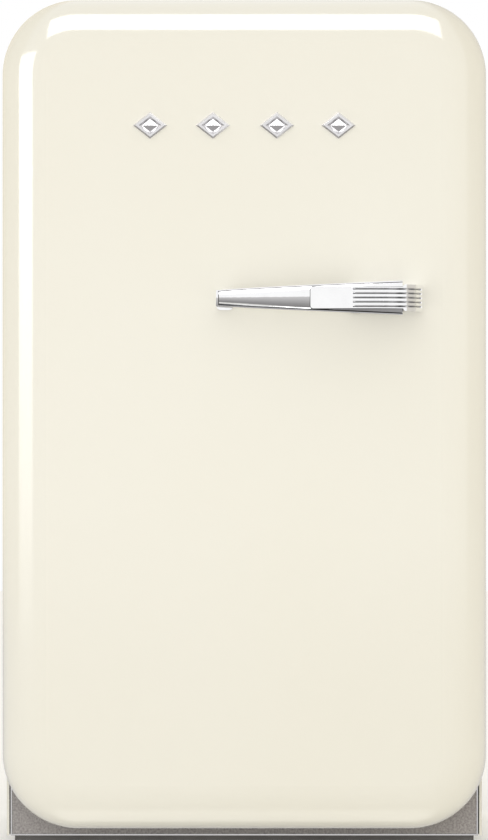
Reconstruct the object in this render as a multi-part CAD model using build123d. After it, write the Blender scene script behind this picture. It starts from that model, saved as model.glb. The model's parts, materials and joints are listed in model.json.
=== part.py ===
from build123d import *
import math
import os

# Retro free-standing mini fridge, 404 mm wide and 715 mm high, hinged on its left side.
#
# Row frame in millimetres: +Z up, +X to the right of someone facing the door, the door faces -Y.
# The origin is the centre of the bounding box's base, on the floor.

# ---------------------------------------------------------------- driving dimensions
TOTAL_H = 715.0          # floor to the top of the door
DOOR_W = 404.0
DOOR_H = 692.0
DOOR_T = 70.0            # outer face to back flange
DOOR_CORNER_R = 63.0     # outline seen from the front
DOOR_EDGE_R = 38.0       # roll of the face into the sides
CAB_W = 401.0
CAB_TOP = 712.0
CAB_BOTTOM = 13.5
CAB_CORNER_R = 60.0
CAB_D = 400.0
GAP = 8.0                # between door and cabinet, filled by the gasket
HANDLE_REACH = 43.0      # handle in front of the door face
REAR_REACH = 21.0        # wall spacers behind the cabinet
WALL = 47.5              # side insulation, skins included
BOX_D = 314.0            # insulated box, front plane to rear panel
SHEET = 1.2              # cabinet steel
PAN = 1.0                # door steel
ABS = 2.0                # vacuum-formed liners

# ---------------------------------------------------------------- depth stations
HALF_D = (HANDLE_REACH + DOOR_T + GAP + CAB_D + REAR_REACH) / 2
DOOR_FACE = -HALF_D + HANDLE_REACH
DOOR_BACK = DOOR_FACE + DOOR_T
CAB_FRONT = DOOR_BACK + GAP
CAB_REAR = CAB_FRONT + CAB_D
BOX_REAR = CAB_FRONT + BOX_D

# ---------------------------------------------------------------- heights and widths
DOOR_Z0 = TOTAL_H - DOOR_H
CAB_X = CAB_W / 2
CAVITY_X = CAB_X - WALL
CAVITY_Z = (100.0, 651.0)
CAVITY_REAR = BOX_REAR - 46.0
LIP = 15.5               # liner lip round the cavity mouth
MOUTH_X = CAVITY_X + LIP
MOUTH_Z = (CAVITY_Z[0] - LIP, CAVITY_Z[1] + LIP)
BOX_FLOOR = 60.0         # underside of the insulated box
GASKET_W = 16.5
GASKET_X = 186.5
GASKET_Z = (63.5, 686.0)
DYKE_X = 147.0           # raised rim of the door liner
DYKE_Z = (107.0, 644.0)
DYKE_H = 22.0
DYKE_W = 20.0
RECESS_X = DYKE_X - DYKE_W
RECESS_Z = (DYKE_Z[0] + DYKE_W, DYKE_Z[1] - DYKE_W)
RECESS_FLOOR = DOOR_BACK - 32.0

# ---------------------------------------------------------------- hinges
HINGE_X = -189.0
HINGE_Y = DOOR_BACK - 17.0
HINGE_Z = (130.0, 608.0)
PIN_R = 4.0
BUSH_R = 6.5
RUN_GAP = 0.06           # radial clearance of the pins in their bushes

# ---------------------------------------------------------------- handle
HANDLE_Z = 464.6
LEVER_X = (-23.3, 130.0)
GRIP_X = (54.2, 148.3)

# ---------------------------------------------------------------- inside
SHELF_Z = {"lower": 262.0, "upper": 424.0}
RIB_LEVELS = (262.0, 343.0, 424.0)
GLASS_T = 4.0
GLASS_Y = (-76.0, CAVITY_REAR - 20.0)
RIB_DEPTH = 8.0
BINS = {"bottle": (137.5, 92.0), "upper": (452.0, 62.0)}   # base height, wall height
BIN_X = RECESS_X - 1.0
BIN_Y = (RECESS_FLOOR + 1.0, -100.0)
BIN_T = 2.5
LUG = (4.0, 8.0, 16.0)
LUG_Y = -176.0
KNOB_X = 42.0
KNOB_Z = 637.0
CONSOLE_Y = (-104.0, -34.0)

# ---------------------------------------------------------------- feet
FOOT_X = 164.0
FOOT_Y = (-118.0, 214.0)
FOOT_R = 17.0
PAN_Z = 9.0              # underside of the base pan
STEM_R = 4.0



# ---------------------------------------------------------------- helpers
def block(x, y, z):
    """Box between two stations on each axis."""
    size = (x[1] - x[0], y[1] - y[0], z[1] - z[0])
    return Pos((x[0] + x[1]) / 2, (y[0] + y[1]) / 2, (z[0] + z[1]) / 2) * Box(*size)


def plate(x, z, y, radius):
    """Slab between two y stations whose outline in XZ is a rectangle with round corners."""
    outline = Plane.XZ * Pos((x[0] + x[1]) / 2, (z[0] + z[1]) / 2) * RectangleRounded(
        x[1] - x[0], z[1] - z[0], radius
    )
    return Pos(0, y[1], 0) * extrude(outline, y[1] - y[0])


def rod(start, end, radius):
    """Cylinder from one point to another."""
    a, b = Vector(*start), Vector(*end)
    axis = b - a
    return Plane(origin=a, z_dir=axis) * extrude(Circle(radius), axis.length)


def tube_along(points, radius, bend):
    """Round bar swept along straight runs joined by arcs."""
    path = FilletPolyline(*points, radius=bend)
    start = Plane(origin=path @ 0, z_dir=path % 0)
    return sweep(start * Circle(radius), path)


def both_sides(shape):
    """The shape and its mirror image across the YZ plane."""
    return Compound(children=[*shape.solids(), *mirror(shape, Plane.YZ).solids()])


def group(shapes):
    """Separate solids kept together in one node."""
    return Compound(children=[s for shape in shapes for s in shape.solids()])


def fillet_where(shape, radius, test):
    """Rounds the edges whose bounding box passes the test."""
    return fillet([e for e in shape.edges() if test(e.bounding_box())], radius)


# ---------------------------------------------------------------- cabinet
def cabinet_block(inset, y):
    """Cabinet outline with round top corners, shrunk by inset, between two y stations."""
    half, top = CAB_X - inset, CAB_TOP - inset
    solid = block((-half, half), y, (CAB_BOTTOM, top))
    edges = [
        e for e in solid.edges()
        if e.bounding_box().min.Z > top - 1 and abs(abs(e.center().X) - half) < 1
    ]
    return fillet(edges, CAB_CORNER_R - inset)


def cabinet_shell():
    """One steel wrapper: both sides and the top, a folded front flange and hemmed lower edges."""
    wrap = cabinet_block(0, (CAB_FRONT, CAB_REAR)) - cabinet_block(
        SHEET, (CAB_FRONT - 1, CAB_REAR + 1)
    )
    wrap -= block((-CAB_X + SHEET, CAB_X - SHEET), (CAB_FRONT - 1, CAB_REAR + 1),
                  (CAB_BOTTOM - 1, CAB_BOTTOM + 40))
    flange = cabinet_block(0, (CAB_FRONT, CAB_FRONT + SHEET))
    flange -= plate((-MOUTH_X, MOUTH_X), (MOUTH_Z[0] - 60, MOUTH_Z[1]),
                    (CAB_FRONT - 1, CAB_FRONT + SHEET + 1), 8)
    flange -= block((-CAB_X, CAB_X), (CAB_FRONT - 1, CAB_FRONT + 4), (0, BOX_FLOOR))
    hem_w, hem_d = 2.2, 9.0
    hem = block((CAB_X - hem_w, CAB_X), (CAB_FRONT, CAB_FRONT + hem_d), (CAB_BOTTOM, BOX_FLOOR))
    rear_hem = block((CAB_X - hem_d, CAB_X), (CAB_REAR - SHEET, CAB_REAR), (CAB_BOTTOM, CAB_TOP - 70))
    shell = wrap + flange
    for part in (hem, rear_hem):
        shell = shell + part + mirror(part, Plane.YZ)
    for x, z in hinge_screw_places():
        shell -= rod((x, CAB_FRONT - 1, z), (x, CAB_FRONT + SHEET, z), 2.0)
    return shell


def rib_boxes():
    """Shelf ribs on the right wall: a pair at each level, with a groove between them."""
    ribs = []
    for level in RIB_LEVELS:
        for z0 in (level - 5.2, level + GLASS_T + 1.0):
            ribs.append(block((CAVITY_X - RIB_DEPTH, CAVITY_X + 1), (-62.0, CAVITY_REAR - 8), (z0, z0 + 5)))
    return ribs


def cabinet_liner():
    """White vacuum-formed tub with a lip at its mouth and shelf ribs on its sides."""
    outer = plate((-CAVITY_X - ABS, CAVITY_X + ABS), (CAVITY_Z[0] - ABS, CAVITY_Z[1] + ABS),
                  (CAB_FRONT, CAVITY_REAR + ABS), 12 + ABS)
    lip = plate((-MOUTH_X + 0.1, MOUTH_X - 0.1), (MOUTH_Z[0] + 0.1, MOUTH_Z[1] - 0.1),
                (CAB_FRONT, CAB_FRONT + ABS), 7.9)
    inner = plate((-CAVITY_X, CAVITY_X), CAVITY_Z, (CAB_FRONT - 1, CAVITY_REAR), 12)
    inner = fillet_where(inner, 10, lambda b: b.min.Y > CAVITY_REAR - 1)
    tub = outer + lip - inner
    for rib in rib_boxes():
        tub = tub + rib + mirror(rib, Plane.YZ)
    tub -= rod((0, CAVITY_REAR - 1, DRAIN_Z), (0, CAVITY_REAR + 5, DRAIN_Z), DRAIN_R)
    return tub


def cabinet_insulation():
    """Foam between the wrapper and the liner, from the front flange to the rear panel."""
    foam = cabinet_block(SHEET, (CAB_FRONT + SHEET, BOX_REAR))
    foam -= block((-CAB_X, CAB_X), (CAB_FRONT, BOX_REAR + 1), (0, BOX_FLOOR + SHEET))
    foam -= plate((-CAVITY_X - ABS, CAVITY_X + ABS), (CAVITY_Z[0] - ABS, CAVITY_Z[1] + ABS),
                  (CAB_FRONT, CAVITY_REAR + ABS), 12 + ABS)
    foam -= block((-MOUTH_X, MOUTH_X), (CAB_FRONT, CAB_FRONT + ABS), MOUTH_Z)
    foam -= block((-MOUTH_X, MOUTH_X), (CAB_FRONT, CAB_FRONT + RAIL_D), (BOX_FLOOR, BOX_FLOOR + 2 * SHEET))
    for z in HINGE_Z:
        foam -= backing_plate(z)
    foam -= rod((0, CAVITY_REAR, DRAIN_Z), (0, BOX_REAR + 1, DRAIN_Z), DRAIN_R)
    foam -= block(EVAPORATOR_X, (CAVITY_REAR + ABS, BOX_REAR), EVAPORATOR_Z)
    return foam


RAIL_D = 20.0


def bottom_rail():
    """Steel angle that closes the front below the cavity and carries the lower gasket."""
    face = block((-MOUTH_X + 0.1, MOUTH_X - 0.1), (CAB_FRONT, CAB_FRONT + SHEET), (BOX_FLOOR, MOUTH_Z[0]))
    foot = block((-MOUTH_X + 0.1, MOUTH_X - 0.1), (CAB_FRONT, CAB_FRONT + RAIL_D),
                 (BOX_FLOOR + SHEET, BOX_FLOOR + 2 * SHEET))
    return face + foot


def floor_panel():
    """Galvanised sheet under the foam."""
    half = CAB_X - SHEET
    return block((-half, half), (CAB_FRONT + SHEET, BOX_REAR), (BOX_FLOOR, BOX_FLOOR + SHEET))


def rear_panel():
    """Sheet behind the foam, with the drain hole and the evaporator neck cut out."""
    panel = cabinet_block(SHEET, (BOX_REAR, BOX_REAR + SHEET))
    panel -= block((-CAB_X, CAB_X), (BOX_REAR - 1, BOX_REAR + 3), (0, BOX_FLOOR))
    panel -= rod((0, BOX_REAR - 1, DRAIN_Z), (0, BOX_REAR + 3, DRAIN_Z), DRAIN_R)
    panel -= block(EVAPORATOR_X, (BOX_REAR - 1, BOX_REAR + 3), EVAPORATOR_Z)
    return panel


PAN_SIDE = CAB_X - SHEET
PAN_Y = (CAB_FRONT + 5.0, CAB_REAR - 6.0)


def base_pan():
    """Grey steel tray under the cabinet; its sides are riveted inside the wrapper."""
    floor_x = PAN_SIDE - 5.5
    tray = block((-floor_x, floor_x), PAN_Y, (PAN_Z, PAN_Z + 1.5))
    step = block((floor_x - 1.5, floor_x), PAN_Y, (PAN_Z, CAB_BOTTOM + 2))
    ledge = block((floor_x - 1.5, PAN_SIDE), PAN_Y, (CAB_BOTTOM + 0.5, CAB_BOTTOM + 2))
    wing = block((PAN_SIDE - 1.5, PAN_SIDE), (PAN_Y[0] + 5.5, PAN_Y[1]), (CAB_BOTTOM + 0.5, 42))
    for part in (step, ledge, wing):
        tray = tray + part + mirror(part, Plane.YZ)
    ledge_front = block((PAN_SIDE - 1.5, PAN_SIDE), (PAN_Y[0], PAN_Y[0] + 5.5), (0, 50))
    tray = tray - ledge_front - mirror(ledge_front, Plane.YZ)
    tray += block((-floor_x, floor_x), (PAN_Y[0], PAN_Y[0] + 1.5), (PAN_Z, 30))
    tray += block((-floor_x, floor_x), (PAN_Y[1] - 1.5, PAN_Y[1]), (PAN_Z, 30))
    for x in (-FOOT_X, FOOT_X):
        for y in FOOT_Y:
            tray -= rod((x, y, PAN_Z - 1), (x, y, PAN_Z + 4), INSERT_R)
    return tray


INSERT_R = 7.0
INSERT_TOP = 34.0


def foot_inserts():
    """Flanged threaded sleeves in the base pan for the two front feet."""
    sleeves = []
    for x in (-FOOT_X, FOOT_X):
        body = rod((x, FOOT_Y[0], PAN_Z), (x, FOOT_Y[0], INSERT_TOP), INSERT_R)
        body += rod((x, FOOT_Y[0], PAN_Z + 1.5), (x, FOOT_Y[0], PAN_Z + 3.5), INSERT_R + 4)
        body -= rod((x, FOOT_Y[0], PAN_Z - 1), (x, FOOT_Y[0], INSERT_TOP + 1), STEM_R + RUN_GAP)
        sleeves.append(body)
    return group(sleeves)


def front_foot(x):
    """Round knurled foot on a threaded stem."""
    y = FOOT_Y[0]
    pad = rod((x, y, 0), (x, y, PAN_Z - 0.5), FOOT_R)
    pad = fillet_where(pad, 1.2, lambda b: b.max.Z - b.min.Z < 0.01)
    grips = 18
    for i in range(grips):
        a = 2 * math.pi * i / grips
        pad -= Pos(x + (FOOT_R + 1.0) * math.cos(a), y + (FOOT_R + 1.0) * math.sin(a), 0) * Cylinder(
            2.0, 3 * PAN_Z)
    return pad + rod((x, y, PAN_Z - 1), (x, y, INSERT_TOP + 8), STEM_R)


def rear_feet():
    """Fixed moulded feet with a plug that clips through the base pan."""
    feet = []
    for x in (-FOOT_X, FOOT_X):
        y = FOOT_Y[1]
        foot = rod((x, y, 0), (x, y, PAN_Z), FOOT_R)
        foot = fillet_where(foot, 1.2, lambda b: b.max.Z < 0.01)
        foot += rod((x, y, PAN_Z), (x, y, PAN_Z + 1.5), INSERT_R)
        foot += rod((x, y, PAN_Z + 1.5), (x, y, PAN_Z + 4.5), INSERT_R + 2)
        feet.append(foot)
    return group(feet)


KICK_X = 196.0
TRIM_W = 1.3
KICK_Z = (CAB_BOTTOM + TRIM_W, BOX_FLOOR - 1.0)


def kick_plate():
    """Grained grey plinth panel below the door, with folded-back edges."""
    front = block((-KICK_X, KICK_X), (CAB_FRONT, CAB_FRONT + 2.5), KICK_Z)
    front = fillet_where(front, 0.6, lambda b: b.max.Y < CAB_FRONT + 0.1)
    back = block((-KICK_X + 6, KICK_X - 6), (CAB_FRONT + 2.5, CAB_FRONT + 4.9),
                 (KICK_Z[0] + 4, KICK_Z[1] - 4))
    return front + back


def kick_plate_trim():
    """Bright U-shaped edging round the sides and bottom of the kick plate."""
    outer = block((-KICK_X - TRIM_W, KICK_X + TRIM_W), (CAB_FRONT - 0.4, CAB_FRONT + 4.0),
                  (CAB_BOTTOM, KICK_Z[1]))
    outer = fillet_where(outer, 0.4, lambda b: b.max.Y < CAB_FRONT - 0.3 and b.min.Z < KICK_Z[1] - 1)
    return outer - block((-KICK_X, KICK_X), (CAB_FRONT - 1, CAB_FRONT + 5), (KICK_Z[0], KICK_Z[1] + 1))


# ---------------------------------------------------------------- hinges
ARM_X = (-198.5, -187.3)
ARM_T = 4.0
BLOCK_H = 40.0


def hinge_screw_places():
    """X and Z of the four bracket screws."""
    return [((ARM_X[0] + ARM_X[1]) / 2, z + dz) for z in HINGE_Z for dz in (-20, 20)]


def hinge_bracket(z):
    """Screwed plate with a horizontal arm whose round end holds the pin."""
    back = block(ARM_X, (CAB_FRONT - 3, CAB_FRONT), (z - 30, z + 30))
    arm = block(ARM_X, (HINGE_Y, CAB_FRONT - 1), (z - ARM_T / 2, z + ARM_T / 2))
    head = Pos(HINGE_X, HINGE_Y, z) * Cylinder(8.0, ARM_T)
    solid = back + arm + head
    for screw_x, screw_z in hinge_screw_places():
        solid -= screw_hole(screw_x, CAB_FRONT - 3, screw_z)
    return solid - Pos(HINGE_X, HINGE_Y, z) * Cylinder(PIN_R, 3 * ARM_T)


def screw_hole(x, y, z):
    """Countersunk screw body, used as the screw and to cut its seat; the head is flush at y."""
    head = Plane(origin=(x, y, z), z_dir=(0, 1, 0)) * extrude(Circle(4.0), 2.0, taper=45)
    return head + rod((x, y + 1.5, z), (x, y + 8.0, z), 2.0)


def hinge_screws():
    """Four countersunk screws that hold the hinge brackets, each with a cross recess."""
    screws = []
    for x, z in hinge_screw_places():
        screw = screw_hole(x, CAB_FRONT - 3, z)
        for size in ((0.8, 3.6), (3.6, 0.8)):
            screw -= Pos(x, CAB_FRONT - 2.5, z) * Box(size[0], 1.4, size[1])
        screws.append(screw)
    return group(screws)


def backing_plate(z):
    """Tapped plate behind the front flange at one hinge."""
    return block((-199.2, -176.0), (CAB_FRONT + SHEET, CAB_FRONT + SHEET + 4), (z - 32, z + 32))


def hinge_backing_plates():
    """The two backing plates, drilled for the bracket screws."""
    plates = group([backing_plate(z) for z in HINGE_Z])
    for x, z in hinge_screw_places():
        plates -= screw_hole(x, CAB_FRONT - 3, z)
    return plates


def hinge_pins():
    """Two pins pressed into the bracket arms."""
    pins = []
    for z in HINGE_Z:
        pin = rod((HINGE_X, HINGE_Y, z - 17), (HINGE_X, HINGE_Y, z + 17), PIN_R)
        pins.append(chamfer([e for e in pin.edges() if e.geom_type == GeomType.CIRCLE], 0.6))
    return group(pins)


def hinge_slot(z):
    """Space that a bracket arm sweeps through inside the door as the door opens."""
    reach = (HINGE_Y - 19.5, DOOR_BACK + 1)
    slot = block((-DOOR_W / 2 - 1, HINGE_X + 2.2), reach, (z - ARM_T / 2 - 0.5, z + ARM_T / 2 + 0.5))
    return slot + Pos(HINGE_X, HINGE_Y, z) * Cylinder(10.0, ARM_T + 1.0)


def hinge_block_body(z):
    """Outer form of one moulded hinge block in the edge of the door."""
    half = BLOCK_H / 2
    return block((-DOOR_W / 2 + PAN, -176.0), (HINGE_Y - 21.0, DOOR_BACK), (z - half, z + half))


def hinge_blocks():
    """Moulded blocks with the arm slot and seats for the bushes."""
    blocks = []
    for z in HINGE_Z:
        solid = hinge_block_body(z) & door_block(PAN, DOOR_BACK)
        solid -= hinge_slot(z)
        solid -= Pos(HINGE_X, HINGE_Y, z) * Cylinder(BUSH_R, BLOCK_H - 5)
        blocks.append(solid)
    return group(blocks)


def hinge_bushes():
    """Four nylon bushes, above and below each arm."""
    bushes = []
    start, stop = ARM_T / 2 + 0.5, BLOCK_H / 2 - 2.5
    for z in HINGE_Z:
        for side in (-1, 1):
            ends = [(HINGE_X, HINGE_Y, z + side * d) for d in (start, stop)]
            wide = [(HINGE_X, HINGE_Y, z + side * d) for d in (start - 1, stop + 1)]
            bushes.append(rod(*ends, BUSH_R) - rod(*wide, PIN_R + RUN_GAP))
    return group(bushes)


# ---------------------------------------------------------------- door
def door_block(inset, y_back):
    """Door form with its rolled face, shrunk by inset and cut off at y_back."""
    half = DOOR_W / 2 - inset
    face = DOOR_FACE + inset
    solid = plate((-half, half), (DOOR_Z0 + inset, TOTAL_H - inset), (face, y_back), DOOR_CORNER_R - inset)
    return fillet_where(solid, DOOR_EDGE_R - inset, lambda b: b.max.Y < face + 0.1)


def door_shell():
    """Deep-drawn steel pan with a return flange, slotted for the hinge arms."""
    outer = door_block(0, DOOR_BACK)
    outer = fillet_where(outer, 2.0, lambda b: b.min.Y > DOOR_BACK - 0.1)
    inner = door_block(PAN, DOOR_BACK - SHEET)
    mouth = plate((-RETURN_X, RETURN_X), (DOOR_Z0 + RETURN, TOTAL_H - RETURN),
                  (DOOR_BACK - 5, DOOR_BACK + 1), DOOR_CORNER_R - RETURN)
    pan = outer - inner - mouth
    for z in HINGE_Z:
        pan -= hinge_slot(z)
        pan -= hinge_block_body(z)
    for x in (TIP_POST_X, *BASE_SCREW_X):
        pan -= rod((x, DOOR_FACE - 1, HANDLE_Z), (x, DOOR_FACE + 3, HANDLE_Z), 2.0)
    return pan


RETURN = 12.5
RETURN_X = DOOR_W / 2 - RETURN


def recess_outer():
    """Outer form of the sunk part of the door liner."""
    return plate((-RECESS_X - ABS, RECESS_X + ABS), (RECESS_Z[0] - ABS, RECESS_Z[1] + ABS),
                 (RECESS_FLOOR - ABS, DOOR_BACK + 5), 14)


def dyke_hollow():
    """Foam-filled space inside the raised rim of the door liner."""
    ring = plate((-DYKE_X + ABS, DYKE_X - ABS), (DYKE_Z[0] + ABS, DYKE_Z[1] - ABS),
                 (DOOR_BACK - ABS, DOOR_BACK + DYKE_H - ABS), 14)
    return ring - plate((-RECESS_X - ABS, RECESS_X + ABS), (RECESS_Z[0] - ABS, RECESS_Z[1] + ABS),
                        (DOOR_BACK - 10, DOOR_BACK + DYKE_H + 5), 14)


def lug(bin_z):
    """Moulded lug on the right wall of the recess that a bin hangs on."""
    return block((RECESS_X - LUG[0], RECESS_X + 0.5), (LUG_Y - LUG[1] / 2, LUG_Y + LUG[1] / 2),
                 (bin_z + 6, bin_z + 6 + LUG[2]))


def door_liner():
    """White vacuum-formed inner door with a raised rim, a sunk middle and lugs for the bins."""
    edge = RETURN + 0.3
    flange = plate((-DOOR_W / 2 + edge, DOOR_W / 2 - edge), (DOOR_Z0 + edge, TOTAL_H - edge),
                   (DOOR_BACK - ABS, DOOR_BACK), DOOR_CORNER_R - edge)
    dyke = plate((-DYKE_X, DYKE_X), DYKE_Z, (DOOR_BACK - 1, DOOR_BACK + DYKE_H), 16)
    dyke = fillet_where(dyke, 6, lambda b: b.min.Y > DOOR_BACK + DYKE_H - 0.1)
    sunk = plate((-RECESS_X, RECESS_X), RECESS_Z, (RECESS_FLOOR, DOOR_BACK + DYKE_H + 5), 12)
    liner = flange + dyke + recess_outer() - dyke_hollow() - sunk
    for base, _ in BINS.values():
        liner = liner + lug(base) + mirror(lug(base), Plane.YZ)
    for z in HINGE_Z:
        liner -= hinge_block_body(z)
    return liner


def door_insulation():
    """Foam that fills the door between its pan and its liner."""
    foam = door_block(PAN, DOOR_BACK - ABS) - recess_outer() + dyke_hollow()
    for z in HINGE_Z:
        foam -= hinge_block_body(z)
        foam -= hinge_slot(z)
    for x in (TIP_POST_X, *BASE_SCREW_X):
        foam -= rod((x, DOOR_FACE, HANDLE_Z), (x, DOOR_FACE + PAN + HEAD_T, HANDLE_Z), HEAD_R)
    return foam


def mitred_frame(inset, outset, y):
    """Four strips with mitred ends, between two insets of the seal's outline."""
    strips = []
    near = [(sx * (GASKET_X - inset), GASKET_Z[z] + (1 - 2 * z) * inset) for sx, z in CORNERS]
    far = [(sx * (GASKET_X - outset), GASKET_Z[z] + (1 - 2 * z) * outset) for sx, z in CORNERS]
    for i in range(4):
        j = (i + 1) % 4
        side = Plane.XZ * Polygon(near[i], near[j], far[j], far[i], align=None)
        strips.append(Pos(0, y[1], 0) * extrude(side, y[1] - y[0]))
    return strips


CORNERS = ((-1, 0), (1, 0), (1, 1), (-1, 1))


def door_gasket():
    """Magnetic seal with mitred corners, a bellows fold and a channel for the magnets."""
    base = mitred_frame(0, GASKET_W, (DOOR_BACK, DOOR_BACK + 1.4))
    fold = mitred_frame(3.5, GASKET_W - 3.5, (DOOR_BACK + 1.4, DOOR_BACK + 3.0))
    face = mitred_frame(0, GASKET_W, (DOOR_BACK + 3.0, CAB_FRONT - 0.2))
    return group([a + b + c - gasket_magnets() for a, b, c in zip(base, fold, face)])


def gasket_magnets():
    """Four magnet strips in the pocket of the seal."""
    y = (CAB_FRONT - 4.1, CAB_FRONT - 1.3)
    x = (GASKET_X - 7.0, GASKET_X - 3.0)
    side = block(x, y, (GASKET_Z[0] + 12, GASKET_Z[1] - 12))
    bottom = block((-x[0] + 12, x[0] - 12), y, (GASKET_Z[0] + 3.0, GASKET_Z[0] + 7.0))
    top = block((-x[0] + 12, x[0] - 12), y, (GASKET_Z[1] - 7.0, GASKET_Z[1] - 3.0))
    return group([side, mirror(side, Plane.YZ), bottom, top])


# ---------------------------------------------------------------- handle
TIP_POST_X = LEVER_X[0] + 7.0
BASE_SCREW_X = (98.0, 134.0)
HEAD_R = 4.0
HEAD_T = 2.4
SCREW_L = 10.0
RIM_W = 1.5          # flat border round the lever's face
RIM_DROP = 1.2       # border below the face
FACE_X = LEVER_X[0] + RIM_W + 0.9
LEAN = 0.3           # share of the crown by which the face leans down
LINE_W = 0.6         # black line round the face
LINE_FLOOR = 4.5
LINE_T = 3.0
SEAM_W = 0.4         # black line round the grip
GRIP_H = 17.8
GRIP_END_H = 21.8
GRIP_SINK = 9.0      # how deep the grip is let into the lever
GRIP_HEEL_X = 132.0
FLUTE_X = 89.0
FLUTES = 5
FLUTE_R = 0.85
STRIP = (0.6, 0.5)   # width and depth of the black strip along a flute


def lever_form(x):
    """Height, front reach and thickness of the lever at a station along X."""
    share = (x - LEVER_X[0]) / (LEVER_X[1] - LEVER_X[0])
    height = 13.0 + 15.2 * share ** 0.86
    reach = 23.0 + 27.0 * share - 16.0 * share ** 2.6
    return height, reach, 8.0 + 7.0 * share


def lever_section(x, narrower, lower, depth, crown):
    """Crowned section at x: less high and lower than the lever by the given amounts.

    Its lower edge falls back further than its upper one, so the face leans down a little.
    """
    height, reach, thick = lever_form(x)
    half = height / 2 - narrower
    front = DOOR_FACE - reach + lower
    back = front + (depth or thick - lower)
    upper = front + (1 - LEAN) * crown
    under = front + (1 + LEAN) * crown
    draft = 0.0 if depth else 0.06 * (back - under)
    edge = [
        Line((x, back, HANDLE_Z - half + draft), (x, under, HANDLE_Z - half)),
        ThreePointArc((x, under, HANDLE_Z - half), (x, front, HANDLE_Z), (x, upper, HANDLE_Z + half)),
        Line((x, upper, HANDLE_Z + half), (x, back, HANDLE_Z + half - draft)),
        Line((x, back, HANDLE_Z + half - draft), (x, back, HANDLE_Z - half + draft)),
    ]
    return Face(Wire(edge))


def lever_loft(first, narrower, lower, depth, crown):
    """Loft along the lever from a first station to its wide end."""
    stations = (first, 10.0, 45.0, 80.0, 108.0, LEVER_X[1])
    return loft([lever_section(x, narrower, lower, depth, crown) for x in stations])


def lever_border():
    """Rim and back of the lever."""
    return lever_loft(LEVER_X[0], 0.0, RIM_DROP, None, 1.0)


def lever_face():
    """Crowned face that stands above the rim."""
    return lever_loft(FACE_X, RIM_W, 0.0, 5.0, 2.7)


def lever_channel():
    """Slot let into the rim all round the face, open to the front."""
    return lever_loft(FACE_X - LINE_W, RIM_W - LINE_W, -1.0, LINE_FLOOR + 1.0, 0.1)


def lever_line():
    """Black line that fills the lower part of the slot, just under the edges of rim and face."""
    slot = lever_loft(FACE_X - LINE_W, RIM_W - LINE_W, LINE_FLOOR - LINE_T, LINE_T, 1.6)
    return slot - lever_face()


def handle_lever():
    """Tapered chrome lever, widest near the opening edge of the door."""
    return lever_border() - lever_channel() + lever_face() - grip_pocket(SEAM_W)


def grip_curve():
    """Side profile of the grip's face."""
    profile = (
        (GRIP_X[0], 38.2), (70.0, 41.2), (88.0, 42.95), (102.0, 42.85), (114.0, 42.2),
        (119.0, 41.2), (127.0, 38.1), (133.5, 35.2), (138.0, 30.5), (144.0, 18.5), (GRIP_X[1], 6.0),
    )
    return Spline(*[(x, DOOR_FACE - reach) for x, reach in profile])


def under_grip_curve(depth):
    """The same profile moved into the grip, square to its face."""
    face = grip_curve()
    steps = [i / 16 for i in range(17)]
    return Spline(*[face @ t + Vector(-(face % t).Y, (face % t).X) * depth for t in steps])


def grip_body(height, start):
    """Slab under the grip's face, from a station along X to its outer end."""
    face = grip_curve()
    first, last = face @ 0, face @ 1
    floor = first.Y + GRIP_SINK
    lines = [
        face,
        Line(last, (last.X, DOOR_FACE)),
        Line((last.X, DOOR_FACE), (GRIP_HEEL_X, DOOR_FACE)),
        Line((GRIP_HEEL_X, DOOR_FACE), (GRIP_HEEL_X, floor)),
        Line((GRIP_HEEL_X, floor), (first.X, floor)),
        Line((first.X, floor), first),
    ]
    slab = Pos(0, 0, HANDLE_Z) * extrude(make_face(lines), height / 2, both=True)
    outline = plate((start, GRIP_X[1]), (HANDLE_Z - height / 2, HANDLE_Z + height / 2),
                    (DOOR_FACE - 60, DOOR_FACE + 1), 2.2)
    return slab & outline


def grip_pocket(margin):
    """Space let into the lever for the grip, with a margin round it."""
    half = GRIP_H / 2 + margin
    top = DOOR_FACE - 60
    floor = (grip_curve() @ 0).Y + GRIP_SINK
    return plate((GRIP_X[0] - margin, GRIP_X[1] + 20), (HANDLE_Z - half, HANDLE_Z + half), (top, floor),
                 2.2 + margin)


def flute_lines(path, section):
    """Five bars of a section swept along the path, one for each flute."""
    pitch = GRIP_H / FLUTES
    keep = block((FLUTE_X, GRIP_X[1] + 5), (DOOR_FACE - 60, DOOR_FACE - 11), (HANDLE_Z - 40, HANDLE_Z + 40))
    bars = []
    for i in range(FLUTES):
        z = HANDLE_Z + (i - (FLUTES - 1) / 2) * pitch
        start = Plane(origin=path @ 0 + Vector(0, 0, z), x_dir=(0, 0, 1), z_dir=path % 0)
        bars.append(sweep(start * section, Pos(0, 0, z) * path) & keep)
    return bars


def flute_grooves():
    """Round-bottomed grooves, half sunk in the grip's face."""
    return flute_lines(grip_curve(), Circle(FLUTE_R))


def flute_strips():
    """Black strips in the bottoms of the grooves."""
    return flute_lines(under_grip_curve(0.87 * FLUTE_R + STRIP[1] / 2), Rectangle(*STRIP))


def handle_grip():
    """Chrome thumb piece with lengthwise flutes; its outer end turns down to the door."""
    grip = grip_body(GRIP_H, GRIP_X[0]) + grip_body(GRIP_END_H, LEVER_X[1] + 0.3)
    for line in flute_grooves() + flute_strips():
        grip -= line
    return grip - screw_bore(BASE_SCREW_X[1])


def handle_inlay():
    """Black enamel lines: round the lever's face, round the grip and down the flutes."""
    ring = lever_line() - grip_pocket(SEAM_W)
    seam = (lever_border() + lever_face()) & (grip_pocket(SEAM_W) - grip_pocket(0))
    return group([ring, seam, *flute_strips()])


def screw_bore(x):
    """Tapped hole for one of the handle's screws."""
    return rod((x, DOOR_FACE - SCREW_L, HANDLE_Z), (x, DOOR_FACE + 1, HANDLE_Z), 2.0)


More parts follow.
